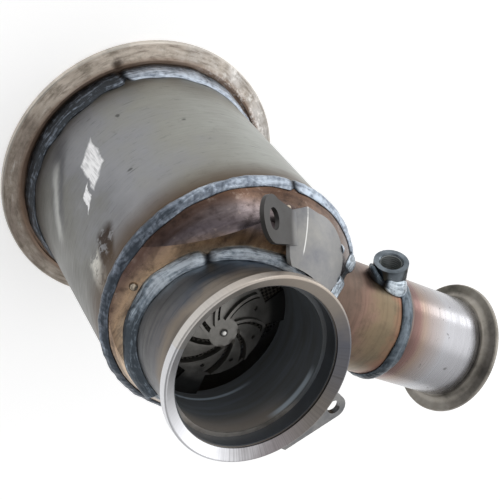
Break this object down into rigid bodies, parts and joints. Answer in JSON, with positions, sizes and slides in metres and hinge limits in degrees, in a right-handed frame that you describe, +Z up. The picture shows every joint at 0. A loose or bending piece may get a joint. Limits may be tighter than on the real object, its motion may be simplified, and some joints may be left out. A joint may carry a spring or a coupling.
{
  "type": "diesel particulate filter",
  "caption": "Stainless filter can with a wide clamp flange, domed end with tilted neck, swirl plate, side outlet pipe, sensor boss and bracket, heat tinted at its welds",
  "frame": {"origin": "centre of the can's open end, in the plane of the big flange's face", "axes": "+Z up the can towards the dome and neck, +X along the side outlet"},
  "size_m": [0.2604, 0.1888, 0.2277],
  "materials": {
    "flange_steel": "satin, warm grey with a faint gold tint",
    "weld_bead": "rippled, slate to bluish white",
    "can_steel": "satin stainless steel, heat tinted beside the welds",
    "dome_steel": "heat tinted copper brown to purple",
    "neck_steel": "dark blue-grey heat tint",
    "neck_ring_steel": "bright, with radial grinding marks",
    "lug_steel": "satin",
    "sleeve_steel": "sooted inside, bright edge",
    "swirl_steel": "pressed sheet, sooted towards its edge",
    "rivet_steel": "bright",
    "stub_steel": "heat tinted tan to copper brown",
    "pipe_steel": "bright brushed, pink and gold tint beside the weld",
    "outlet_ring_steel": "dark olive-grey",
    "boss_steel": "gunmetal",
    "bracket_steel": "satin sheet",
    "filter_ceramic": "matt, porous",
    "cement": "matt",
    "mat_fibre": "fibrous",
    "wire_mesh": "knitted wire"
  },
  "bodies": {
    "root": {"can_flange": "flange_steel", "can_flange_weld": "weld_bead", "can_shell": "can_steel", "filter_segments": "filter_ceramic", "filter_cement": "cement", "support_mat": "mat_fibre", "mat_rings": "wire_mesh", "end_dome": "dome_steel", "dome_weld": "weld_bead", "neck_tube": "neck_steel", "neck_weld": "weld_bead", "neck_flange": "neck_ring_steel", "neck_lug": "lug_steel", "lug_weld": "weld_bead", "mixer_sleeve": "sleeve_steel", "swirl_plate": "swirl_steel", "swirl_rivet": "rivet_steel", "outlet_stub": "stub_steel", "stub_weld": "weld_bead", "sensor_boss": "boss_steel", "boss_weld": "weld_bead", "outlet_pipe": "pipe_steel", "joint_weld": "weld_bead", "outlet_flange": "outlet_ring_steel", "bracket": "bracket_steel", "bracket_tacks": "weld_bead"}
  },
  "joints": []
}
